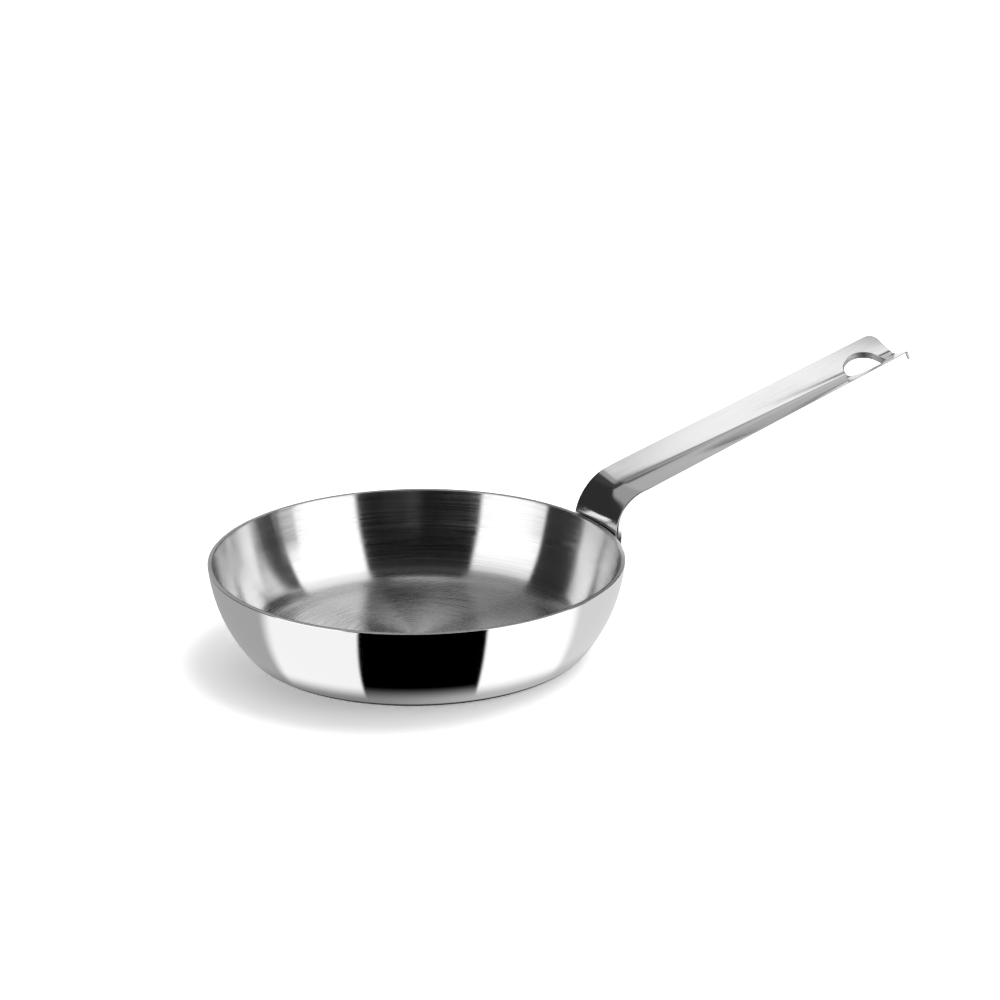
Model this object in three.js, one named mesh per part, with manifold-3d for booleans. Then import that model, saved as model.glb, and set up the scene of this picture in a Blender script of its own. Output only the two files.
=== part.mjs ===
// Blini pan: a small pan of clad steel sheet with one bent strap handle, spot-welded to its wall.
// Millimetres, +Z up. The origin is the middle of the base's underside, and the handle runs along +X.
import * as THREE from 'three';
import { mergeVertices } from 'three/addons/utils/BufferGeometryUtils.js';
import Module from 'manifold-3d';

// Pan body, measured on its outside
const RIM_RADIUS = 60;
const HEIGHT = 26.3;
const WALL_LEAN = 4.9; // degrees from upright, at the rim
const WALL_RADIUS = 45; // curve of the wall, seen in section
const BASE_CORNER = 5; // radius between the wall and the flat base
const RIM_BREAK = 0.15; // broken edges of the ground rim

// Clad sheet, from the outside in
const OUTER_STEEL = 0.4;
const CORE = 0.7;
const INNER_STEEL = 0.4;

// Handle strap, measured along its upper face from the rim
const STRAP_THICKNESS = 2.4;
const EDGE_ROUND = 0.25; // rounded edges of the strap's section
const TAB_LENGTH = 13; // welded part below the rim
const TAB_ROUND = 6; // corners of the tab
const BEND_RADIUS = 12; // on the upper face
const GRIP_SLOPE = 15.6; // degrees above level
const GRIP_LENGTH = 98.8; // straight part beyond the bend
const ROOT_WIDTH = 24.5; // at the rim, before the waist is taken off
const END_WIDTH = 20.9;
const END_ROUND = 3; // corners of the free end
const WAIST = 1.5; // drawn in by this much across the bend
const WAIST_PLACE = 8; // middle of the waist
const WAIST_REACH = 12; // from the middle of the waist to where it runs out
const TROUGH_AT_BEND = 1.6; // depth of the trough pressed along the grip
const TROUGH_AT_END = 4;
const SOFT_AT_BEND = 3; // rounding of the trough's bottom
const SOFT_AT_END = 1.8;

// Hang hole, punched in the flat strap before the trough is pressed
const HOLE_DIAMETER = 12.8;
const HOLE_FROM_END = 10.8;

// Spot welds between the tab and the wall
const SEAM = 0.4; // space between the strap and the wall
const WELD_CLEARANCE = 0.1; // left on both sides of a weld spot
const WELD_DIAMETER = 4.5;
const WELD_SPACING = 10; // across the tab
const WELD_MARGIN = 4; // from a weld's middle to the rim, and to the tab's end
const WELD_ROWS = 2;
const WELD_COLUMNS = 2;

// Fineness of the facets
const TURN_STEPS = 60;
const WALL_STEPS = 6;
const CORNER_STEPS = 4;
const ROUND_STEPS = 5;
const BEND_STEPS = 10;
const FACE_STEPS = 12;
const EDGE_STEPS = 2;
const HOLE_STEPS = 32;
const WELD_STEPS = 20;
const MERGE_DISTANCE = 1e-4; // closer points are one point

const QUARTER = Math.PI / 2;
const radians = THREE.MathUtils.degToRad;
const lerp = THREE.MathUtils.lerp;

const wasm = await Module();
wasm.setup();

// Section of the pan: the wall is one arc, and a smaller arc joins it to the flat base.
// Angles turn from level (pointing out) to straight down.
const wallLean = radians(WALL_LEAN);
const wallCentre = new THREE.Vector2(
  RIM_RADIUS - WALL_RADIUS * Math.cos(wallLean),
  HEIGHT + WALL_RADIUS * Math.sin(wallLean),
);
const meetAngle = Math.asin((wallCentre.y - BASE_CORNER) / (WALL_RADIUS - BASE_CORNER));
const cornerCentre = new THREE.Vector2(
  wallCentre.x + (WALL_RADIUS - BASE_CORNER) * Math.cos(meetAngle),
  BASE_CORNER,
);

function onArc(centre, radius, angle) {
  return new THREE.Vector2(centre.x + radius * Math.cos(angle), centre.y - radius * Math.sin(angle));
}

// Angle at which the wall, taken at some depth under its outside, reaches a height.
function wallAngleAt(height, depth) {
  return Math.asin((wallCentre.y - height) / (WALL_RADIUS - depth));
}

// Line from the axis along the base, round the corner and up the wall, at a depth under the outside.
// Where the rim is broken on this side, the line ends lower and then steps in or out to the rim.
function sheetLine(depth, rimBreak, step) {
  const line = [new THREE.Vector2(0, depth)];
  for (let i = 0; i <= CORNER_STEPS; i += 1) {
    const angle = lerp(QUARTER, meetAngle, i / CORNER_STEPS);
    line.push(onArc(cornerCentre, BASE_CORNER - depth, angle));
  }
  const topAngle = wallAngleAt(HEIGHT - rimBreak, depth);
  for (let i = 1; i <= WALL_STEPS; i += 1) {
    const angle = lerp(meetAngle, topAngle, i / WALL_STEPS);
    line.push(onArc(wallCentre, WALL_RADIUS - depth, angle));
  }
  if (rimBreak > 0) {
    const top = onArc(wallCentre, WALL_RADIUS - depth, wallAngleAt(HEIGHT, depth));
    line.push(new THREE.Vector2(top.x + step * rimBreak, HEIGHT));
  }
  return line;
}

// One layer of the sheet, turned about the pan's axis.
function turnedLayer(outerLine, innerLine) {
  const profile = [...outerLine, ...innerLine.reverse()];
  const layer = new THREE.LatheGeometry(profile, TURN_STEPS);
  return layer.rotateX(QUARTER);
}

function outerSteelLayer() {
  const broken = Math.min(RIM_BREAK, OUTER_STEEL / 2);
  return turnedLayer(sheetLine(0, broken, -1), sheetLine(OUTER_STEEL, 0, 0));
}

function aluminiumCore() {
  return turnedLayer(sheetLine(OUTER_STEEL, 0, 0), sheetLine(OUTER_STEEL + CORE, 0, 0));
}

function innerSteelLayer() {
  const broken = Math.min(RIM_BREAK, INNER_STEEL / 2);
  const insideDepth = OUTER_STEEL + CORE + INNER_STEEL;
  return turnedLayer(sheetLine(OUTER_STEEL + CORE, 0, 0), sheetLine(insideDepth, broken, 1));
}

// Path of the strap's upper face, in the XZ plane: up the wall, round the bend and along the grip.
const tabRadius = WALL_RADIUS + SEAM;
const gripSlope = radians(GRIP_SLOPE);
const rimSlope = QUARTER - wallLean;
const bendLength = BEND_RADIUS * (rimSlope - gripSlope);
const strapEnd = bendLength + GRIP_LENGTH;
const strapRoot = onArc(wallCentre, tabRadius, wallLean);
const bendCentre = new THREE.Vector2(
  strapRoot.x + BEND_RADIUS * Math.sin(rimSlope),
  strapRoot.y - BEND_RADIUS * Math.cos(rimSlope),
);

function strapPath(along) {
  if (along < 0) {
    const angle = wallLean - along / tabRadius;
    return { point: onArc(wallCentre, tabRadius, angle), slope: QUARTER - angle };
  }
  const slope = rimSlope - Math.min(along, bendLength) / BEND_RADIUS;
  const straight = Math.max(along - bendLength, 0);
  const point = new THREE.Vector2(
    bendCentre.x - BEND_RADIUS * Math.sin(slope) + straight * Math.cos(slope),
    bendCentre.y + BEND_RADIUS * Math.cos(slope) + straight * Math.sin(slope),
  );
  return { point, slope };
}

// Half of the strap's width before its corners are rounded: a taper with a waist across the bend.
function plainHalfWidth(along) {
  const taper = lerp(ROOT_WIDTH, END_WIDTH, along / strapEnd);
  const fromWaist = Math.min(Math.abs(along - WAIST_PLACE) / WAIST_REACH, 1);
  return (taper - WAIST * Math.cos(QUARTER * fromWaist) ** 2) / 2;
}

function cornerLoss(reach, radius) {
  const into = Math.max(radius - reach, 0);
  return radius - Math.sqrt(Math.max(radius ** 2 - into ** 2, 0));
}

function halfWidth(along) {
  const atTab = cornerLoss(along + TAB_LENGTH, TAB_ROUND);
  const atEnd = cornerLoss(strapEnd - along, END_ROUND);
  return plainHalfWidth(along) - atTab - atEnd;
}

// Rise of the upper face above its middle line, with its steepness, at a distance across the strap.
// The tab follows the round wall; round the bend that gives way to the trough of the grip.
function faceRise(along, across) {
  const { point, slope } = strapPath(Math.min(along, 0));
  const wallCurve = point.x / Math.sin(slope);
  const wallRoot = Math.sqrt(wallCurve ** 2 - across ** 2);
  const downGrip = (along - bendLength) / GRIP_LENGTH;
  const depth = lerp(TROUGH_AT_BEND, TROUGH_AT_END, downGrip);
  const soft = lerp(SOFT_AT_BEND, SOFT_AT_END, downGrip);
  const edge = plainHalfWidth(along);
  const troughScale = depth / (Math.hypot(edge, soft) - soft);
  const troughRoot = Math.hypot(across, soft);
  const share = THREE.MathUtils.smoothstep(along, 0, bendLength);
  return {
    rise: lerp(wallCurve - wallRoot, troughScale * (troughRoot - soft), share),
    steepness: lerp(across / wallRoot, (troughScale * across) / troughRoot, share),
  };
}

// Point of the strap's section: a place across it and a depth under its upper face.
function sectionPoint(along, across, depth) {
  const { rise, steepness } = faceRise(along, across);
  const length = Math.hypot(1, steepness);
  return new THREE.Vector2(across + (depth * steepness) / length, rise - depth / length);
}

// The same point set on the strap's path.
function onPath(along, { x: across, y: rise }) {
  const { point, slope } = strapPath(along);
  return [point.x - rise * Math.sin(slope), across, point.y + rise * Math.cos(slope)];
}

// Closed outline of the section: upper face, one rounded edge, lower face, other rounded edge.
function strapSection(along) {
  const flat = halfWidth(along) - EDGE_ROUND;
  const outline = [];
  const addFace = (depth, from, to) => {
    for (let i = 0; i <= FACE_STEPS; i += 1) {
      outline.push(sectionPoint(along, lerp(from, to, i / FACE_STEPS), depth));
    }
  };
  const addEdge = (side, from, to) => {
    for (let i = 1; i < 2 * EDGE_STEPS + 1; i += 1) {
      const turn = (Math.min(i, 2 * EDGE_STEPS + 1 - i) / EDGE_STEPS) * QUARTER;
      const out = EDGE_ROUND * Math.sin(turn);
      const inset = EDGE_ROUND * (1 - Math.cos(turn));
      const depth = i <= EDGE_STEPS ? from + inset * Math.sign(to - from) : to - inset * Math.sign(to - from);
      outline.push(sectionPoint(along, side * (flat + out), depth));
    }
  };
  addFace(0, -flat, flat);
  addEdge(1, 0, STRAP_THICKNESS);
  addFace(STRAP_THICKNESS, flat, -flat);
  addEdge(-1, STRAP_THICKNESS, 0);
  return outline;
}

// Places along the strap that get a section: close together where the outline or the path turns.
function strapStations() {
  const stations = [];
  for (let i = ROUND_STEPS; i >= 0; i -= 1) {
    stations.push(-TAB_LENGTH + TAB_ROUND * (1 - Math.sin((QUARTER * i) / ROUND_STEPS)));
  }
  stations.push((TAB_ROUND - TAB_LENGTH) / 2);
  for (let i = 0; i <= BEND_STEPS; i += 1) {
    stations.push((bendLength * i) / BEND_STEPS);
  }
  const waistEnd = WAIST_PLACE + WAIST_REACH;
  if (waistEnd > bendLength) {
    stations.push((bendLength + waistEnd) / 2, waistEnd);
  }
  for (let i = 0; i <= ROUND_STEPS; i += 1) {
    stations.push(strapEnd - END_ROUND * (1 - Math.sin((QUARTER * i) / ROUND_STEPS)));
  }
  return stations;
}

function geometryOf(positions, triangles) {
  const geometry = new THREE.BufferGeometry();
  geometry.setAttribute('position', new THREE.Float32BufferAttribute(positions, 3));
  geometry.setIndex(triangles);
  return geometry;
}

// Closed disc from two faces, each given by its middle and a ring of points that turn the same way.
function discOf(positions, steps) {
  const triangles = [];
  const other = steps + 1;
  for (let i = 0; i < steps; i += 1) {
    const here = 1 + i;
    const next = 1 + ((i + 1) % steps);
    triangles.push(0, here, next, other, other + next, other + here);
    triangles.push(here, other + here, next, next, other + here, other + next);
  }
  return geometryOf(positions, triangles);
}

// The strap: its section carried along the path, with both ends closed.
function bentStrap() {
  const stations = strapStations();
  const sections = stations.map(strapSection);
  const count = sections[0].length;
  const positions = [];
  stations.forEach((along, row) => {
    sections[row].forEach((corner) => positions.push(...onPath(along, corner)));
  });
  const triangles = [];
  for (let row = 0; row + 1 < stations.length; row += 1) {
    for (let i = 0; i < count; i += 1) {
      const here = row * count + i;
      const beside = row * count + ((i + 1) % count);
      triangles.push(here, here + count, beside, beside, here + count, beside + count);
    }
  }
  const last = (stations.length - 1) * count;
  for (const [a, b, c] of THREE.ShapeUtils.triangulateShape(sections[0], [])) {
    triangles.push(a, c, b);
  }
  for (const [a, b, c] of THREE.ShapeUtils.triangulateShape(sections.at(-1), [])) {
    triangles.push(last + a, last + b, last + c);
  }
  return geometryOf(positions, triangles);
}

// Pin that cuts the hang hole, square to both slopes of the trough and standing clear of both faces.
function holeCutter() {
  const middle = strapEnd - HOLE_FROM_END;
  const positions = [];
  const addPoint = (radius, way, depth) => {
    const along = middle + radius * Math.cos(way);
    positions.push(...onPath(along, sectionPoint(along, radius * Math.sin(way), depth)));
  };
  for (const depth of [-STRAP_THICKNESS, 2 * STRAP_THICKNESS]) {
    addPoint(0, 0, depth);
    for (let i = 0; i < HOLE_STEPS; i += 1) {
      addPoint(HOLE_DIAMETER / 2, (2 * Math.PI * i) / HOLE_STEPS, depth);
    }
  }
  return discOf(positions, HOLE_STEPS);
}

function solidOf(geometry) {
  geometry.deleteAttribute('normal');
  geometry.deleteAttribute('uv');
  const merged = mergeVertices(geometry, MERGE_DISTANCE);
  return new wasm.Manifold(new wasm.Mesh({
    numProp: 3,
    vertProperties: Float32Array.from(merged.attributes.position.array),
    triVerts: Uint32Array.from(merged.index.array),
  }));
}

function handleStrap() {
  const { vertProperties, triVerts } = solidOf(bentStrap()).subtract(solidOf(holeCutter())).getMesh();
  return geometryOf(vertProperties, Array.from(triVerts));
}

// One weld spot: a round lens that follows the wall, between the wall and the tab.
function weldSpot(across, drop) {
  const middle = wallLean + drop / tabRadius;
  const turn = across / strapPath(-drop).point.x;
  const positions = [];
  const addPoint = (radius, way, offset) => {
    const angle = middle + (radius * Math.sin(way)) / tabRadius;
    const { x, y } = onArc(wallCentre, WALL_RADIUS + offset, angle);
    const around = turn + (radius * Math.cos(way)) / x;
    positions.push(x * Math.cos(around), x * Math.sin(around), y);
  };
  const faces = [WELD_CLEARANCE, SEAM - WELD_CLEARANCE];
  for (const offset of faces) {
    addPoint(0, 0, offset);
    for (let i = 0; i < WELD_STEPS; i += 1) {
      addPoint(WELD_DIAMETER / 2, (2 * Math.PI * i) / WELD_STEPS, offset);
    }
  }
  return discOf(positions, WELD_STEPS);
}

const brushedSteel = { color: 0xb4b4b4, roughness: 0.35, metalness: 1 };
const polishedSteel = { color: 0xd6d6d6, roughness: 0.06, metalness: 1 };
const rawAluminium = { color: 0xc4c6c8, roughness: 0.5, metalness: 1 };
const weldMetal = { color: 0x8f8d8a, roughness: 0.6, metalness: 1 };

const group = new THREE.Group();

function addPiece(name, geometry, finish) {
  const piece = new THREE.Mesh(geometry, new THREE.MeshStandardMaterial(finish));
  piece.name = name;
  group.add(piece);
}

addPiece('outer_steel_layer', outerSteelLayer(), polishedSteel);
addPiece('aluminium_core', aluminiumCore(), rawAluminium);
addPiece('inner_steel_layer', innerSteelLayer(), brushedSteel);
addPiece('handle_strap', handleStrap(), polishedSteel);
for (let row = 0; row < WELD_ROWS; row += 1) {
  const drop = lerp(WELD_MARGIN, TAB_LENGTH - WELD_MARGIN, row / (WELD_ROWS - 1));
  for (let column = 0; column < WELD_COLUMNS; column += 1) {
    const across = WELD_SPACING * (column - (WELD_COLUMNS - 1) / 2);
    const number = row * WELD_COLUMNS + column + 1;
    addPiece(`weld_spot_${number}`, weldSpot(across, drop), weldMetal);
  }
}

export default group;
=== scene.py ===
"""Blini pan: the finished look of a small clad steel pan with a bent strap handle.

Metres, +Z up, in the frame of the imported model: the origin is the middle of the base's underside,
and the handle runs along +X. Every new piece is a surface worked out with numpy.
"""

import bmesh
import bpy
import numpy as np
from mathutils import Matrix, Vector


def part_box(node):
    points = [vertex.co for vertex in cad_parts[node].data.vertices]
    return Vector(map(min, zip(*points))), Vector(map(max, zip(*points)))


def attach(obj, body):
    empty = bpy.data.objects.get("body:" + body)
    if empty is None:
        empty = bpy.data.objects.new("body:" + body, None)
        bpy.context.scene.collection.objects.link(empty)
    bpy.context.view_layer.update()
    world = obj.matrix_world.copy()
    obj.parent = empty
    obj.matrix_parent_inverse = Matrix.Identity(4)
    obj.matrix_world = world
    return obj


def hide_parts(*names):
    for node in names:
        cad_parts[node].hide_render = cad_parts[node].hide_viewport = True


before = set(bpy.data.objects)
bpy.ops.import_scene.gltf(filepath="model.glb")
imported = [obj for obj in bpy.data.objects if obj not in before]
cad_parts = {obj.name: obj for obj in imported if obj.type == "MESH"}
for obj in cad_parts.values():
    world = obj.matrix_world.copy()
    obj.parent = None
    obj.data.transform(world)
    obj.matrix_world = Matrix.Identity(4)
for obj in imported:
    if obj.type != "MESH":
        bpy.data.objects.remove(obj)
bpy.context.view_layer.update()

MM = 0.001
QUARTER = np.pi / 2

# Pan body, measured on its outside; its height comes from the frame
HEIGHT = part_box("outer_steel_layer")[1].z
RIM_RADIUS = 60 * MM
WALL_LEAN = np.radians(4.9)  # from upright, at the rim
WALL_RADIUS = 45 * MM  # curve of the wall, seen in section
BASE_CORNER = 5 * MM  # radius between the wall and the flat base
RIM_ROUND = 0.15 * MM

# Clad sheet, from the outside in
OUTER_STEEL = 0.4 * MM
CORE = 0.7 * MM
INNER_STEEL = 0.4 * MM
SHEET = OUTER_STEEL + CORE + INNER_STEEL
RIM_THINNED = 0.8 * MM  # the wall is thicker than its rim by this much
THINNED_REACH = 10 * MM  # below the rim
INSIDE_CORNER = 8 * MM  # radius between the cooking surface and the wall

# Handle strap, measured along its upper face from the rim
SEAM = 0.4 * MM  # space between the strap and the wall
STRAP_THICKNESS = 2.4 * MM
EDGE_ROUND = 0.25 * MM
TAB_LENGTH = 13 * MM  # welded part below the rim
TAB_ROUND = 6 * MM
BEND_RADIUS = 12 * MM
GRIP_SLOPE = np.radians(15.6)
GRIP_LENGTH = 98.8 * MM
ROOT_WIDTH = 24.5 * MM
END_WIDTH = 20.9 * MM
END_ROUND = 3 * MM
WAIST = 1.5 * MM  # drawn in by this much across the bend
WAIST_PLACE = 8 * MM
WAIST_REACH = 12 * MM
TROUGH_AT_BEND = 1.6 * MM  # depth of the trough pressed along the grip
TROUGH_AT_END = 4 * MM
SOFT_AT_BEND = 2.2 * MM  # rounding of the trough's bottom
SOFT_AT_END = 1.8 * MM

# Hang hole
HOLE_RADIUS = 6.4 * MM
HOLE_FROM_END = 10.8 * MM
HOLE_EDGE_ROUND = 0.25 * MM
HOLE_PATCH = 12 * MM  # from the hole's middle back to where the plain grip starts

# Marks that the welding points leave on the tab's outer face
WELD_DROPS = np.array([4, 9]) * MM  # below the rim
WELD_ACROSS = np.array([-5, 5]) * MM
DENT_RADIUS = 2.6 * MM
DENT_DEPTH = 0.18 * MM

# Fineness of the surfaces
TURN_STEPS = 288
BASE_STEPS = 40
CORNER_STEPS = 16
WALL_STEPS = 48
ROUND_STEPS = 6
FACE_STEPS = 96
TAB_STEPS = 24
BEND_STEPS = 32
GRIP_STEPS = 48
END_STEPS = 24
PATCH_STEPS = 16
FLANK_STEPS = 4
SHARP_ANGLE = np.radians(40)
MERGE_DISTANCE = 1e-7


# Meshes from grids of points

def grid_faces(rows, columns, closed):
    """Quads between neighbouring points of a grid; where it is closed, the last column joins the first."""
    index = np.arange(rows * columns).reshape(rows, columns)
    if closed:
        index = np.concatenate([index, index[:, :1]], axis=1)
    corners = [index[:-1, :-1], index[1:, :-1], index[1:, 1:], index[:-1, 1:]]
    return np.stack(corners, axis=-1).reshape(-1, 4)


def piece_from(name, body, replaced, material, grids):
    """One closed piece from grids of points: shared borders are merged and the faces turned outwards."""
    points = []
    faces = []
    count = 0
    for grid, closed in grids:
        rows, columns = grid.shape[:2]
        points.append(grid.reshape(-1, 3))
        faces.append(grid_faces(rows, columns, closed) + count)
        count += rows * columns
    mesh = bpy.data.meshes.new(name)
    mesh.from_pydata(np.concatenate(points).tolist(), [], np.concatenate(faces).tolist())
    work = bmesh.new()
    work.from_mesh(mesh)
    bmesh.ops.remove_doubles(work, verts=work.verts, dist=MERGE_DISTANCE)
    bmesh.ops.dissolve_degenerate(work, edges=work.edges, dist=MERGE_DISTANCE)
    bmesh.ops.recalc_face_normals(work, faces=work.faces)
    work.to_mesh(mesh)
    work.free()
    mesh.shade_smooth()
    mesh.set_sharp_from_angle(angle=SHARP_ANGLE)
    mesh.materials.append(material)
    piece = bpy.data.objects.new(name, mesh)
    bpy.context.collection.objects.link(piece)
    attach(piece, body)
    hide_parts(replaced)
    return piece


# Section of the pan: the wall is one arc, and a smaller arc joins it to the flat base

WALL_CENTRE = np.array([
    RIM_RADIUS - WALL_RADIUS * np.cos(WALL_LEAN),
    HEIGHT + WALL_RADIUS * np.sin(WALL_LEAN),
])
MEET_ANGLE = np.arcsin((WALL_CENTRE[1] - BASE_CORNER) / (WALL_RADIUS - BASE_CORNER))
CORNER_CENTRE = np.array([
    WALL_CENTRE[0] + (WALL_RADIUS - BASE_CORNER) * np.cos(MEET_ANGLE),
    BASE_CORNER,
])


def on_arc(centre, radius, angle):
    """Points of an arc: the centre plus the radius, turned down from level by each angle."""
    across = centre[0] + radius * np.cos(angle)
    height = centre[1] - radius * np.sin(angle)
    return np.stack([across, height], axis=-1)


def sheet_line(depth, top):
    """Line at a depth under the outside: level along the base, round the corner, up the wall to a height."""
    along_base = np.linspace(0, CORNER_CENTRE[0], BASE_STEPS, endpoint=False)
    base = np.stack([along_base, np.full(BASE_STEPS, depth)], axis=-1)
    corner_angles = np.linspace(QUARTER, MEET_ANGLE, CORNER_STEPS, endpoint=False)
    corner = on_arc(CORNER_CENTRE, BASE_CORNER - depth, corner_angles)
    top_angle = np.arcsin((WALL_CENTRE[1] - top) / (WALL_RADIUS - depth))
    wall = on_arc(WALL_CENTRE, WALL_RADIUS - depth, np.linspace(MEET_ANGLE, top_angle, WALL_STEPS))
    return np.concatenate([base, corner, wall])


def cooking_line(top):
    """Inside line: level along the base, round a wide corner, then up the wall.

    The wall is an arc inside the sheet's own, and a parabola thins it to the sheet at the rim.
    """
    wall_radius = WALL_RADIUS - SHEET - RIM_THINNED
    reach = wall_radius - INSIDE_CORNER
    corner_height = SHEET + INSIDE_CORNER
    meet = np.arcsin((WALL_CENTRE[1] - corner_height) / reach)
    corner_centre = np.array([WALL_CENTRE[0] + reach * np.cos(meet), corner_height])
    along_base = np.linspace(0, corner_centre[0], BASE_STEPS, endpoint=False)
    base = np.stack([along_base, np.full(BASE_STEPS, SHEET)], axis=-1)
    corner_angles = np.linspace(QUARTER, meet, CORNER_STEPS, endpoint=False)
    corner = on_arc(corner_centre, INSIDE_CORNER, corner_angles)
    top_angle = np.arcsin((WALL_CENTRE[1] - top) / (WALL_RADIUS - SHEET))
    wall_angles = np.linspace(meet, top_angle, WALL_STEPS)
    below_rim = WALL_RADIUS * (wall_angles - top_angle)
    thinned = np.clip(1 - below_rim / THINNED_REACH, 0, 1) ** 2
    wall = on_arc(WALL_CENTRE, wall_radius + RIM_THINNED * thinned, wall_angles)
    return np.concatenate([base, corner, wall])


def rim_edge(depth, way):
    """Quarter round from a face of the wall to the flat rim; way is -1 outside and 1 inside."""
    face = sheet_line(depth, HEIGHT - RIM_ROUND)[-1]
    turn = np.linspace(0, QUARTER, ROUND_STEPS + 1)[1:]
    across = face[0] + way * RIM_ROUND * (1 - np.cos(turn))
    height = face[1] + RIM_ROUND * np.sin(turn)
    return np.stack([across, height], axis=-1)


def turned(profile):
    """A profile turned about the Z axis: each point goes round a full circle at its own height."""
    turn = np.linspace(0, 2 * np.pi, TURN_STEPS, endpoint=False)
    radius = profile[:, :1]
    height = profile[:, 1:] + np.zeros(TURN_STEPS)
    return np.stack([radius * np.cos(turn), radius * np.sin(turn), height], axis=-1)


def pan_outside(material):
    """Outer steel: the outside line, its rounded rim edge, and the bonded face back to the axis."""
    outside = np.concatenate([sheet_line(0, HEIGHT - RIM_ROUND), rim_edge(0, -1)])
    bonded = sheet_line(OUTER_STEEL, HEIGHT)[::-1]
    grid = turned(np.concatenate([outside, bonded]))
    return piece_from("pan_outside", "root", "outer_steel_layer", material, [(grid, True)])


def pan_core(material):
    """Aluminium: the two bonded faces, closed by the ring that shows at the rim."""
    outer_face = sheet_line(OUTER_STEEL, HEIGHT)
    inner_face = sheet_line(OUTER_STEEL + CORE, HEIGHT)[::-1]
    grid = turned(np.concatenate([outer_face, inner_face]))
    return piece_from("pan_core", "root", "aluminium_core", material, [(grid, True)])


def pan_inside(material):
    """Inner steel: the bonded face, then the rounded rim edge and the cooking surface back to the axis."""
    bonded = sheet_line(OUTER_STEEL + CORE, HEIGHT)
    inside = np.concatenate([cooking_line(HEIGHT - RIM_ROUND), rim_edge(SHEET, 1)])[::-1]
    grid = turned(np.concatenate([bonded, inside]))
    return piece_from("pan_inside", "root", "inner_steel_layer", material, [(grid, True)])


# Strap of the handle: places are given along its upper face, across it and in depth under that face

TAB_RADIUS = WALL_RADIUS + SEAM
RIM_SLOPE = QUARTER - WALL_LEAN
BEND_LENGTH = BEND_RADIUS * (RIM_SLOPE - GRIP_SLOPE)
STRAP_END = BEND_LENGTH + GRIP_LENGTH
HOLE_PLACE = STRAP_END - HOLE_FROM_END
PATCH_START = HOLE_PLACE - HOLE_PATCH
STRAP_ROOT = on_arc(WALL_CENTRE, TAB_RADIUS, WALL_LEAN)
BEND_CENTRE = STRAP_ROOT + BEND_RADIUS * np.array([np.sin(RIM_SLOPE), -np.cos(RIM_SLOPE)])


def smooth_step(value):
    """Cubic that leaves 0 and reaches 1 with no slope."""
    share = np.clip(value, 0, 1)
    return share ** 2 * (3 - 2 * share)


def strap_path(along):
    """Middle line in the XZ plane: an arc beside the wall, an arc round the bend, then a straight line."""
    tab_angle = WALL_LEAN - np.minimum(along, 0) / TAB_RADIUS
    tab = on_arc(WALL_CENTRE, TAB_RADIUS, tab_angle)
    bend_slope = RIM_SLOPE - np.clip(along, 0, BEND_LENGTH) / BEND_RADIUS
    straight = np.maximum(along - BEND_LENGTH, 0)
    grip_x = BEND_CENTRE[0] - BEND_RADIUS * np.sin(bend_slope) + straight * np.cos(bend_slope)
    grip_z = BEND_CENTRE[1] + BEND_RADIUS * np.cos(bend_slope) + straight * np.sin(bend_slope)
    on_tab = along < 0
    x = np.where(on_tab, tab[..., 0], grip_x)
    z = np.where(on_tab, tab[..., 1], grip_z)
    return x, z, np.where(on_tab, QUARTER - tab_angle, bend_slope)


def plain_half_width(along):
    """Half of the width with square ends: a straight taper, less a cosine-squared waist across the bend."""
    taper = ROOT_WIDTH + (END_WIDTH - ROOT_WIDTH) * along / STRAP_END
    from_waist = np.minimum(np.abs(along - WAIST_PLACE) / WAIST_REACH, 1)
    return (taper - WAIST * np.cos(QUARTER * from_waist) ** 2) / 2


def corner_loss(reach, radius):
    """What a round corner takes off the width at a distance from the end: radius less a circle's height."""
    into = np.clip(radius - reach, 0, radius)
    return radius - np.sqrt(radius ** 2 - into ** 2)


def face_half_width(along):
    """Half of the width of the faces, which end where the rounded edges start."""
    at_tab = corner_loss(along + TAB_LENGTH - EDGE_ROUND, TAB_ROUND - EDGE_ROUND)
    at_end = corner_loss(STRAP_END - EDGE_ROUND - along, END_ROUND - EDGE_ROUND)
    return plain_half_width(along) - EDGE_ROUND - at_tab - at_end


def face_rise(along, across):
    """Rise of the upper face above the middle line, and its steepness.

    On the tab it is a circle round the pan's axis; on the grip it is a hyperbola, a V with a soft bottom.
    Round the bend the first gives way to the second by a smooth step.
    """
    root_x, _, root_slope = strap_path(np.minimum(along, 0))
    wall_curve = root_x / np.sin(root_slope)
    wall_root = np.sqrt(wall_curve ** 2 - across ** 2)
    down_grip = (along - BEND_LENGTH) / GRIP_LENGTH
    trough = TROUGH_AT_BEND + (TROUGH_AT_END - TROUGH_AT_BEND) * down_grip
    soft = SOFT_AT_BEND + (SOFT_AT_END - SOFT_AT_BEND) * down_grip
    scale = trough / (np.hypot(plain_half_width(along), soft) - soft)
    trough_root = np.hypot(across, soft)
    share = smooth_step(along / BEND_LENGTH)
    rise = (1 - share) * (wall_curve - wall_root) + share * scale * (trough_root - soft)
    steepness = (1 - share) * across / wall_root + share * scale * across / trough_root
    return rise, steepness


def strap_point(along, across, depth):
    """Place on the strap: out from the path across and up by the rise, then down the face's own normal."""
    x, z, slope = strap_path(along)
    rise, steepness = face_rise(along, across)
    length = np.hypot(1, steepness)
    sideways = across + depth * steepness / length
    lift = rise - depth / length
    return np.stack([x - lift * np.sin(slope), sideways, z + lift * np.cos(slope)], axis=-1)


def weld_dents(along, across):
    """Depth of the welding marks: a smooth dish round each weld's middle."""
    depth = 0
    for drop in WELD_DROPS:
        for place in WELD_ACROSS:
            distance = np.hypot(along + drop, across - place)
            depth = depth + DENT_DEPTH * smooth_step(2 * (1 - distance / DENT_RADIUS))
    return depth


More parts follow.
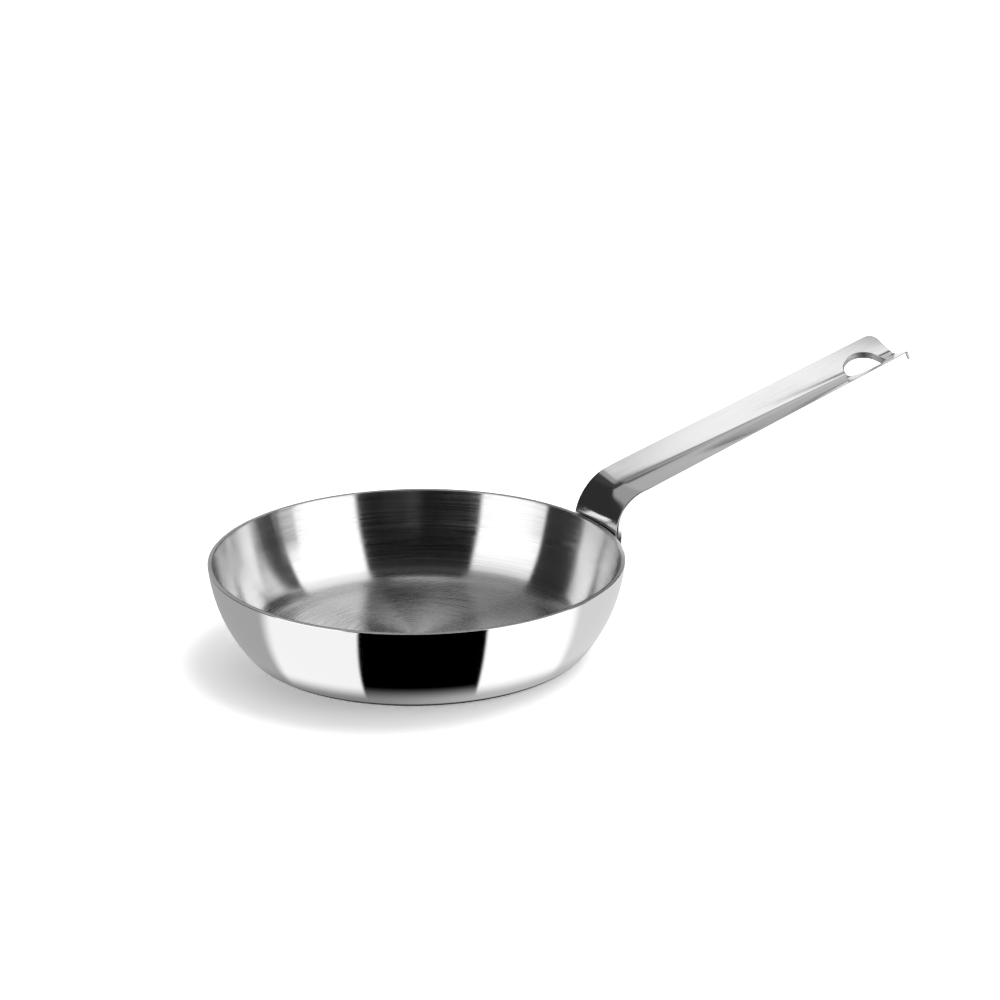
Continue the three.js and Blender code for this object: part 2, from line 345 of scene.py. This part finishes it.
def strap_stations():
    """Places along the strap with a row of points, from the tab's end to the patch round the hole."""
    tab_start = EDGE_ROUND - TAB_LENGTH
    corner = TAB_ROUND - EDGE_ROUND
    turn = np.linspace(0, QUARTER, TAB_STEPS, endpoint=False)
    rounded = tab_start + corner * (1 - np.cos(turn))
    tab = np.linspace(tab_start + corner, 0, TAB_STEPS, endpoint=False)
    bend = np.linspace(0, BEND_LENGTH, BEND_STEPS, endpoint=False)
    grip = np.linspace(BEND_LENGTH, PATCH_START, GRIP_STEPS)
    return np.concatenate([rounded, tab, bend, grip])


def end_outline():
    """Edge of the faces round the free end: one side, its round corner, the end line and their mirror."""
    corner = END_ROUND - EDGE_ROUND
    last = STRAP_END - EDGE_ROUND
    side = np.linspace(PATCH_START, last - corner, END_STEPS, endpoint=False)
    rounded = last - corner * (1 - np.sin(np.linspace(0, QUARTER, END_STEPS)))
    places = np.concatenate([side, rounded])
    one_side = np.stack([places, -face_half_width(places)], axis=-1)
    tip = one_side[-1, 1]
    end_line = np.stack([np.full(END_STEPS + 1, last), np.linspace(tip, -tip, END_STEPS + 1)], axis=-1)
    other_side = one_side[::-1] * np.array([1, -1])
    return np.concatenate([one_side, end_line[1:-1], other_side])


def outward(loop):
    """Unit vectors square to a closed line, pointing out of it."""
    ahead = np.roll(loop, -1, axis=0) - loop
    ahead = ahead / np.linalg.norm(ahead, axis=1, keepdims=True)
    tangent = ahead + np.roll(ahead, 1, axis=0)
    tangent = tangent / np.linalg.norm(tangent, axis=1, keepdims=True)
    return np.stack([tangent[:, 1], -tangent[:, 0]], axis=-1)


def edge_band(loop):
    """Rounded edge all round the strap: out by a sine and down by a cosine, twice, with the flank between."""
    turn = np.linspace(0, QUARTER, ROUND_STEPS + 1)
    flank = np.linspace(EDGE_ROUND, STRAP_THICKNESS - EDGE_ROUND, FLANK_STEPS + 1)[1:-1]
    inset = EDGE_ROUND * (1 - np.cos(turn))
    depth = np.concatenate([inset, flank, STRAP_THICKNESS - inset[::-1]])[:, None]
    round_out = EDGE_ROUND * np.sin(turn)
    out = np.concatenate([round_out, np.full(len(flank), EDGE_ROUND), round_out[::-1]])[:, None]
    way = outward(loop)
    along = loop[:, 0] + out * way[:, 0]
    across = loop[:, 1] + out * way[:, 1]
    return strap_point(along, across, depth)


def hole_ring(angle, radius):
    """Circle round the hang hole's middle, on the upper face."""
    return HOLE_PLACE + radius * np.cos(angle), radius * np.sin(angle)


def hole_patch(ring, angle, depth):
    """Face round the hole: straight lines from the hole's edge to the face's edge, at the same angle."""
    near_along, near_across = hole_ring(angle, HOLE_RADIUS + HOLE_EDGE_ROUND)
    share = np.sin(QUARTER * np.linspace(0, 1, PATCH_STEPS + 1))[:, None] ** 2
    along = near_along + (ring[:, 0] - near_along) * share
    across = near_across + (ring[:, 1] - near_across) * share
    return strap_point(along, across, depth)


def hole_wall(angle):
    """Wall of the hole, square to both slopes of the trough, with a small quarter round at both faces."""
    turn = np.linspace(0, QUARTER, ROUND_STEPS + 1)
    inset = HOLE_EDGE_ROUND * (1 - np.cos(turn))
    depth = np.concatenate([inset, STRAP_THICKNESS - inset[::-1]])[:, None]
    wider = HOLE_EDGE_ROUND * (1 - np.sin(turn))
    radius = HOLE_RADIUS + np.concatenate([wider, wider[::-1]])[:, None]
    along, across = hole_ring(angle, radius)
    return strap_point(along, across, depth)


def handle(material):
    """The whole strap: both faces, the band round their edge, and the patches and wall of the hole."""
    stations = strap_stations()
    share = np.sin(QUARTER * np.linspace(-1, 1, FACE_STEPS + 1))
    along = stations[:, None]
    across = share * face_half_width(stations)[:, None]
    upper = strap_point(along, across, 0)
    lower = strap_point(along, across, STRAP_THICKNESS - weld_dents(along, across))

    side = np.stack([stations, -face_half_width(stations)], axis=-1)
    mirrored = side[::-1] * np.array([1, -1])
    end = end_outline()
    tab_end = np.stack([np.full(FACE_STEPS + 1, stations[0]), across[0, ::-1]], axis=-1)
    loop = np.concatenate([side, end[1:-1], mirrored, tab_end[1:-1]])

    start = np.stack([np.full(FACE_STEPS + 1, PATCH_START), across[-1, ::-1]], axis=-1)
    ring = np.concatenate([end, start[1:-1]])
    angle = np.arctan2(ring[:, 1], ring[:, 0] - HOLE_PLACE)
    grids = [
        (upper, False),
        (lower, False),
        (edge_band(loop), True),
        (hole_patch(ring, angle, 0), True),
        (hole_patch(ring, angle, STRAP_THICKNESS), True),
        (hole_wall(angle), True),
    ]
    return piece_from("handle", "root", "handle_strap", material, grids)


# Node trees

class Nodes:
    """Short ways to add nodes to a tree; a value is a number, a vector or another node's output."""

    def __init__(self, tree):
        self.tree = tree
        tree.nodes.clear()

    def add(self, kind, **settings):
        node = self.tree.nodes.new(kind)
        for name, value in settings.items():
            setattr(node, name, value)
        return node

    def set(self, socket, value):
        if isinstance(value, bpy.types.NodeSocket):
            self.tree.links.new(value, socket)
        else:
            socket.default_value = value

    def math(self, operation, *values):
        node = self.add("ShaderNodeMath", operation=operation)
        for socket, value in zip(node.inputs, values):
            self.set(socket, value)
        return node.outputs[0]

    def vector(self, operation, *values):
        node = self.add("ShaderNodeVectorMath", operation=operation)
        for socket, value in zip(node.inputs, values):
            self.set(socket, value)
        return node.outputs["Value" if operation in ("DOT_PRODUCT", "LENGTH") else "Vector"]

    def ramp(self, value, low, high, start=0.0, end=1.0):
        """Smooth step of a value, from start at low to end at high."""
        node = self.add("ShaderNodeMapRange", interpolation_type="SMOOTHSTEP")
        for socket, part in zip(node.inputs, (value, low, high, start, end)):
            self.set(socket, part)
        return node.outputs[0]

    def blend(self, factor, first, second):
        """Mix of two numbers: the first where the factor is 0, the second where it is 1."""
        node = self.add("ShaderNodeMix", data_type="FLOAT")
        for place, part in ((0, factor), (2, first), (3, second)):
            self.set(node.inputs[place], part)
        return node.outputs[0]

    def noise(self, vector, scale, detail, roughness=0.5):
        node = self.add("ShaderNodeTexNoise")
        self.set(node.inputs["Vector"], vector)
        node.inputs["Scale"].default_value = scale
        node.inputs["Detail"].default_value = detail
        node.inputs["Roughness"].default_value = roughness
        return node.outputs["Fac"]


# Studio: directions are told apart by azimuth from the camera, right of it positive, and by elevation

CAMERA_PLACE = (-0.40088, -0.79362, 0.35701)
CAMERA_RIGHT = np.array([0.87938, -0.47610, -0.00419])
CAMERA_UP = np.array([0.16180, 0.29055, 0.94308])
CAMERA_LENS = 118.8
SENSOR_WIDTH = 36
LAMP_LEVEL = 0.35  # white paper on the table shows this much of the lamp
LAMP_SIZE = 2.0
LAMP_PLACE = (1.0, -1.0, 2.2)  # to the camera's right, towards the camera and up
PAPER = 0.9
PAPER_SHOWN = 1.85  # over-lit for the camera, so that only the shadow shows
TABLE_RADIUS = 4.0
TABLE_SIDES = 96

STUDIO_RIGHT = np.array([0.8794, -0.4761, 0])
STUDIO_NEAR = np.array([-0.4761, -0.8794, 0])
STUDIO_UP = np.array([0, 0, 1])
CAMERA_NEAR = 0.937  # direction to the camera: level part and rise
CAMERA_HIGH = 0.349


def studio_direction(right, near, up):
    """World direction from parts to the camera's right, towards the camera and up."""
    return tuple(right * STUDIO_RIGHT + near * STUDIO_NEAR + up * STUDIO_UP)


def camera():
    data = bpy.data.cameras.new("camera")
    data.lens = CAMERA_LENS
    data.sensor_width = SENSOR_WIDTH
    data.sensor_fit = "HORIZONTAL"
    data.clip_end = 20
    holder = bpy.data.objects.new("camera", data)
    back = np.cross(CAMERA_RIGHT, CAMERA_UP)
    turn = Matrix(np.stack([CAMERA_RIGHT, CAMERA_UP, back], axis=-1).tolist()).to_4x4()
    holder.matrix_world = Matrix.Translation(CAMERA_PLACE) @ turn
    bpy.context.collection.objects.link(holder)
    bpy.context.scene.camera = holder


def studio_world():
    """White studio: soft boxes at the sides and behind, dark flags between them, and a lit table below.

    Side boxes and table are laid out by the direction half-way between a reflection and the camera, which
    is the normal of the surface that shows it: facing is its azimuth and tilt its elevation. Angles are in
    degrees, parts to the right and to the back run from -1 to 1, and a level of 1 is white. The last number
    of a mask is half the width of its soft edge.
    """
    world = bpy.data.worlds.new("studio")
    bpy.context.scene.world = world
    world.use_nodes = True
    nodes = Nodes(world.node_tree)
    direction = nodes.add("ShaderNodeTexCoord").outputs["Generated"]
    half_way = nodes.vector("ADD", direction, studio_direction(0, CAMERA_NEAR, CAMERA_HIGH))

    def part(right, near, up):
        return nodes.vector("DOT_PRODUCT", direction, studio_direction(right, near, up))

    def angles(vector):
        right = nodes.vector("DOT_PRODUCT", vector, studio_direction(1, 0, 0))
        near = nodes.vector("DOT_PRODUCT", vector, studio_direction(0, 1, 0))
        up = nodes.vector("DOT_PRODUCT", vector, studio_direction(0, 0, 1))
        level_part = nodes.vector("LENGTH", nodes.vector("MULTIPLY", vector, (1, 1, 0)))
        round_angle = nodes.math("DEGREES", nodes.math("ARCTAN2", right, near))
        return round_angle, nodes.math("DEGREES", nodes.math("ARCTAN2", up, level_part))

    def both(first, second):
        return nodes.math("MULTIPLY", first, second)

    def over(value, edge, soft):
        return nodes.ramp(value, edge - soft, edge + soft)

    def under(value, edge, soft):
        return nodes.ramp(value, edge - soft, edge + soft, 1.0, 0.0)

    def between(value, low, high, soft):
        return both(over(value, low, soft), under(value, high, soft))

    azimuth, elevation = angles(direction)
    facing, tilt = angles(half_way)

    # Pale room, dimmer to the left, under a dim ceiling
    to_right = part(1, 0, 0)
    to_back = part(0, -1, 0)
    level = nodes.ramp(to_right, -0.25, 0.1, 0.36, 1.0)
    level = nodes.blend(over(elevation, 44, 5), level, 0.05)
    # Soft box high behind, brighter to the right
    behind = over(to_back, 0.22, 0.08)
    off_edge = nodes.math("SUBTRACT", to_right, nodes.ramp(elevation, 60, 70, -0.04, 0.1))
    back_box = both(behind, both(over(elevation, 47, 2), under(off_edge, 0, 0.02)))
    level = nodes.blend(back_box, level, nodes.ramp(to_right, -0.24, -0.09, 0.38, 1.08))
    # Dark frame along the box's left side and lower edge, down to a post
    beside_box = both(under(to_right, -0.35, 0.03), between(elevation, 41, 60, 2))
    level = nodes.blend(both(behind, beside_box), level, 0.04)
    leaning = nodes.math("ADD", elevation, nodes.math("MULTIPLY", to_right, 15))
    below_box = both(under(to_right, -0.165, 0.012), between(leaning, 33, 43.5, 2))
    level = nodes.blend(both(behind, below_box), level, 0.05)
    post = both(between(to_right, -0.18, -0.155, 0.004), between(elevation, 28, 37, 2))
    level = nodes.blend(both(behind, post), level, 0.1)
    # Dark flag behind, low in the middle and higher on the right
    low_flag = both(between(to_right, -0.08, 0.8, 0.02), between(elevation, 3, 25, 2))
    high_flag = both(between(to_right, 0.04, 0.8, 0.03), between(elevation, 20, 45, 3))
    back_flag = nodes.math("MAXIMUM", low_flag, high_flag)
    level = nodes.blend(both(over(to_back, 0.3, 0.1), back_flag), level, 0.03)
    # Dark flags at both sides
    left_flag = both(between(azimuth, -140, -60, 4), under(elevation, 46, 3))
    level = nodes.blend(left_flag, level, 0.03)
    right_flag = both(between(azimuth, 60, 106, 4), under(elevation, 46, 3))
    level = nodes.blend(right_flag, level, 0.06)
    # Soft boxes at both sides, and the dark gap between them where the camera stands
    below_top = under(tilt, 62, 4)
    left_box = both(between(facing, -40.6, -10, 0.8), below_top)
    level = nodes.blend(left_box, level, nodes.ramp(tilt, 31, 40, 1.5, 0.25))
    spread = nodes.math("ADD", facing, nodes.math("MULTIPLY", tilt, 0.08))
    right_box = both(both(over(facing, 10, 0.8), under(spread, 46.8, 0.8)), below_top)
    level = nodes.blend(right_box, level, nodes.ramp(tilt, 32, 42, 1.6, 1.1))
    off_middle = nodes.math("ABSOLUTE", facing)
    off_middle = nodes.math("ADD", off_middle, nodes.math("MULTIPLY", tilt, 0.066))
    gap = both(under(off_middle, 19.9, 0.8), below_top)
    level = nodes.blend(gap, level, nodes.blend(between(tilt, 38, 44, 2), 0.006, 0.12))

    # Table: lit at both sides, dark in front, in half shade near the base and black under it
    table = nodes.ramp(facing, -30, 30, 0.42, 0.75)
    upright = nodes.math("SUBTRACT", facing, nodes.math("MULTIPLY", tilt, 0.05))
    table = nodes.blend(between(upright, -45.1, 0, 3), table, 1.07)
    table = nodes.blend(between(upright, 0, 50, 2.5), table, 1.2)
    table = nodes.blend(between(upright, -15.3, 20.1, 0.6), table, 0.0)
    half_shade = nodes.ramp(facing, -20, 30, 0.26, 0.54)
    table = nodes.blend(under(tilt, -34.3, 4.5), table, half_shade)
    table = nodes.blend(under(tilt, -44, 3), table, 0.03)
    level = nodes.blend(under(tilt, 0, 1.5), level, table)

    # Light that the pan mirrors onto the table: least to the front left, most to the back left
    path = nodes.add("ShaderNodeLightPath")
    after_table = nodes.math("MINIMUM", path.outputs["Diffuse Depth"], 1)
    bounced = nodes.blend(between(azimuth, -90, -25, 15), 0.4, 0.05)
    bounced = nodes.math("MAXIMUM", bounced, nodes.ramp(part(-0.5, -0.87, 0), 0.05, 0.6, 0.0, 1.1))
    level = nodes.blend(after_table, level, bounced)
    # Light that falls straight on the table, mostly from the right and behind
    for_table = nodes.ramp(part(0.85, -0.53, 0), -0.5, 0.8, 0.3, 1.1)
    level = nodes.blend(path.outputs["Is Diffuse Ray"], level, for_table)
    # White background
    level = nodes.blend(path.outputs["Is Camera Ray"], level, 1.0)
    level = nodes.blend(path.outputs["Is Transmission Ray"], level, 1.0)
    background = nodes.add("ShaderNodeBackground")
    background.inputs["Color"].default_value = (1, 1, 1, 1)
    nodes.set(background.inputs["Strength"], level)
    output = nodes.add("ShaderNodeOutputWorld")
    nodes.set(output.inputs["Surface"], background.outputs[0])


def studio_lamp():
    """Large soft lamp above, behind and to the right: it lays the shadow to the left and front."""
    data = bpy.data.lights.new("soft_lamp", "AREA")
    data.shape = "DISK"
    data.size = LAMP_SIZE
    place = np.array(studio_direction(*LAMP_PLACE))
    distance = np.linalg.norm(place)
    back = place / distance
    data.energy = LAMP_LEVEL * np.pi ** 2 * distance ** 2 / back[2]
    lamp = bpy.data.objects.new("soft_lamp", data)
    right = np.cross(STUDIO_UP, back)
    right = right / np.linalg.norm(right)
    turn = Matrix(np.stack([right, np.cross(back, right), back], axis=-1).tolist()).to_4x4()
    lamp.matrix_world = Matrix.Translation(place.tolist()) @ turn
    lamp.visible_glossy = False
    bpy.context.collection.objects.link(lamp)


def floor():
    """Round white table at the height of the base: over-lit for the camera, and seen through from below."""
    material = bpy.data.materials.new("white_table")
    material.use_nodes = True
    nodes = Nodes(material.node_tree)
    paper = nodes.add("ShaderNodeBsdfDiffuse")
    paper.inputs["Color"].default_value = (PAPER, PAPER, PAPER, 1)
    shown = nodes.add("ShaderNodeBsdfDiffuse")
    shown.inputs["Color"].default_value = (PAPER_SHOWN, PAPER_SHOWN, PAPER_SHOWN, 1)
    lit = nodes.add("ShaderNodeMixShader")
    nodes.set(lit.inputs[0], nodes.add("ShaderNodeLightPath").outputs["Is Camera Ray"])
    nodes.set(lit.inputs[1], paper.outputs[0])
    nodes.set(lit.inputs[2], shown.outputs[0])
    clear = nodes.add("ShaderNodeBsdfTransparent")
    seen = nodes.add("ShaderNodeMixShader")
    nodes.set(seen.inputs[0], nodes.add("ShaderNodeNewGeometry").outputs["Backfacing"])
    nodes.set(seen.inputs[1], lit.outputs[0])
    nodes.set(seen.inputs[2], clear.outputs[0])
    output = nodes.add("ShaderNodeOutputMaterial")
    nodes.set(output.inputs["Surface"], seen.outputs[0])

    turn = np.linspace(0, 2 * np.pi, TABLE_SIDES, endpoint=False)
    edge = TABLE_RADIUS * np.stack([np.cos(turn), np.sin(turn), np.zeros(TABLE_SIDES)], axis=-1)
    mesh = bpy.data.meshes.new("table")
    mesh.from_pydata(edge.tolist(), [], [list(range(TABLE_SIDES))])
    mesh.materials.append(material)
    table = bpy.data.objects.new("table", mesh)
    table.visible_glossy = False
    bpy.context.collection.objects.link(table)


# Finishes

POLISHED_TONE = 0.84
BRUSHED_TONE = 0.76
CORE_TONE = 0.77
HANDLE_TONE = 0.82
PAINTED_HOLE_SHADE_TONE = 0.55  # wall of the hang hole, painted darker as shade
HOLE_WALL_REACH = 8 * MM  # from the hole's middle
HOLE_WALL_FADE = 1 * MM
WELD_TONE = 0.55


def metal(name, colour, roughness):
    """A bare metal: returns its material, its nodes and its shader, with a plain roughness to start from."""
    material = bpy.data.materials.new(name)
    material.use_nodes = True
    nodes = Nodes(material.node_tree)
    shader = nodes.add("ShaderNodeBsdfPrincipled")
    shader.inputs["Metallic"].default_value = 1
    shader.inputs["Base Color"].default_value = (colour, colour, colour, 1)
    shader.inputs["Roughness"].default_value = roughness
    output = nodes.add("ShaderNodeOutputMaterial")
    nodes.set(output.inputs["Surface"], shader.outputs[0])
    return material, nodes, shader


def round_lines(nodes, along, square):
    """Place for noise that runs round the pan, and the height.

    The place is a unit circle times along, lifted by radius plus height times square.
    """
    place = nodes.add("ShaderNodeTexCoord").outputs["Object"]
    flat = nodes.vector("MULTIPLY", place, (1, 1, 0))
    split = nodes.add("ShaderNodeSeparateXYZ")
    nodes.set(split.inputs[0], place)
    radius = nodes.vector("LENGTH", flat)
    circle = nodes.vector("MULTIPLY", nodes.vector("NORMALIZE", flat), (along, along, along))
    reach = nodes.math("MULTIPLY", nodes.math("ADD", radius, split.outputs["Z"]), square)
    lift = nodes.add("ShaderNodeCombineXYZ")
    nodes.set(lift.inputs["Z"], reach)
    return nodes.vector("ADD", circle, lift.outputs[0]), split.outputs["Z"]


def bump(nodes, shader, height, distance):
    node = nodes.add("ShaderNodeBump")
    node.inputs["Distance"].default_value = distance
    node.inputs["Strength"].default_value = 1
    nodes.set(node.inputs["Height"], height)
    nodes.set(shader.inputs["Normal"], node.outputs[0])


def polished_steel():
    """Mirror polish with faint lines round the pan; the underside is turned and the rim is ground."""
    material, nodes, shader = metal("polished_steel", POLISHED_TONE, 0.05)
    place, height = round_lines(nodes, 5, 2600)
    lines = nodes.noise(place, 1, 4, 0.6)
    base = nodes.ramp(height, 0.1 * MM, 0.8 * MM, 1, 0)
    rim = nodes.ramp(height, HEIGHT - 0.1 * MM, HEIGHT - 0.02 * MM)
    dull = nodes.math("MAXIMUM", base, rim)
    polish = nodes.ramp(lines, 0.3, 0.7, 0.03, 0.06)
    turned_finish = nodes.ramp(lines, 0.3, 0.7, 0.24, 0.38)
    nodes.set(shader.inputs["Roughness"], nodes.blend(dull, polish, turned_finish))
    bump(nodes, shader, nodes.math("MULTIPLY", lines, nodes.blend(dull, 0.06, 1)), 0.02 * MM)
    return material


def brushed_steel():
    """Satin brushed round the pan's axis, coarser low down: highlights spread square to the brush lines."""
    material, nodes, shader = metal("brushed_steel", BRUSHED_TONE, 0.26)
    shader.inputs["Anisotropic"].default_value = 1
    shader.inputs["Anisotropic Rotation"].default_value = 0.25
    tangent = nodes.add("ShaderNodeTangent", direction_type="RADIAL", axis="Z")
    nodes.set(shader.inputs["Tangent"], tangent.outputs[0])
    place, height = round_lines(nodes, 2, 6500)
    lines = nodes.noise(place, 1, 1)
    satin = nodes.ramp(lines, 0.35, 0.65, 0.13, 0.21)
    low = nodes.ramp(height, SHEET + 0.5 * MM, SHEET + 4 * MM, 1, 0)
    nodes.set(shader.inputs["Roughness"], nodes.blend(low, satin, nodes.ramp(lines, 0.35, 0.65, 0.2, 0.3)))
    bump(nodes, shader, lines, 0.0006 * MM)
    return material


def core_aluminium():
    """Plain rolled aluminium, seen as a thin ring at the rim."""
    material, nodes, shader = metal("core_aluminium", CORE_TONE, 0.4)
    place, _ = round_lines(nodes, 12, 4000)
    grain = nodes.noise(place, 1, 3)
    nodes.set(shader.inputs["Roughness"], nodes.ramp(grain, 0.3, 0.7, 0.3, 0.5))
    bump(nodes, shader, grain, 0.01 * MM)
    return material


def handle_steel():
    """Polished strap with a faint lengthwise grain; the wall of the hang hole is left satin from cutting, and
    its colour is painted darker as shade.
    """
    material, nodes, shader = metal("handle_steel", HANDLE_TONE, 0.1)
    place = nodes.add("ShaderNodeTexCoord").outputs["Object"]
    stretched = nodes.vector("MULTIPLY", place, (60, 1800, 300))
    grain = nodes.noise(stretched, 1, 3, 0.55)
    polish = nodes.ramp(grain, 0.3, 0.7, 0.07, 0.13)
    hole_x, hole_z, slope = strap_path(HOLE_PLACE)
    from_hole = nodes.vector("SUBTRACT", place, (hole_x, 0, hole_z))
    along = nodes.vector("DOT_PRODUCT", from_hole, (np.cos(slope), 0, np.sin(slope)))
    across = nodes.vector("DOT_PRODUCT", from_hole, (0, 1, 0))
    square = nodes.math("ADD", nodes.math("POWER", along, 2), nodes.math("POWER", across, 2))
    beside_hole = nodes.ramp(nodes.math("SQRT", square), HOLE_WALL_REACH, HOLE_WALL_REACH + HOLE_WALL_FADE, 1, 0)
    normal = nodes.add("ShaderNodeNewGeometry").outputs["Normal"]
    upright = nodes.vector("DOT_PRODUCT", normal, (-np.sin(slope), 0, np.cos(slope)))
    # Mask of the hole's wall: satin roughness from cutting, and painted shade in the colour
    satin_and_shade = nodes.math("MULTIPLY", beside_hole, nodes.ramp(nodes.math("ABSOLUTE", upright), 0.5, 0.7, 1, 0))
    satin = nodes.ramp(grain, 0.3, 0.7, 0.5, 0.65)
    nodes.set(shader.inputs["Roughness"], nodes.blend(satin_and_shade, polish, satin))
    # Darker base colour on the hole's wall: painted shade
    tone = nodes.add("ShaderNodeCombineColor")
    tone_with_painted_shade = nodes.blend(satin_and_shade, HANDLE_TONE, PAINTED_HOLE_SHADE_TONE)
    for channel in tone.inputs:
        nodes.set(channel, tone_with_painted_shade)
    nodes.set(shader.inputs["Base Color"], tone.outputs[0])
    bump(nodes, shader, grain, 0.001 * MM)
    return material


def weld_steel():
    """Bare fused steel between the tab and the wall."""
    material, nodes, shader = metal("weld_steel", WELD_TONE, 0.5)
    place = nodes.add("ShaderNodeTexCoord").outputs["Object"]
    grain = nodes.noise(place, 1800, 3)
    nodes.set(shader.inputs["Roughness"], nodes.ramp(grain, 0.3, 0.7, 0.4, 0.65))
    bump(nodes, shader, grain, 0.03 * MM)
    return material


bpy.context.scene.view_settings.view_transform = "Standard"
camera()
studio_world()
studio_lamp()
floor()

pan_outside(polished_steel())
pan_core(core_aluminium())
pan_inside(brushed_steel())
handle(handle_steel())

weld = weld_steel()
for number in (1, 2, 3, 4):
    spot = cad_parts[f"weld_spot_{number}"]
    spot.data.materials.clear()
    spot.data.materials.append(weld)
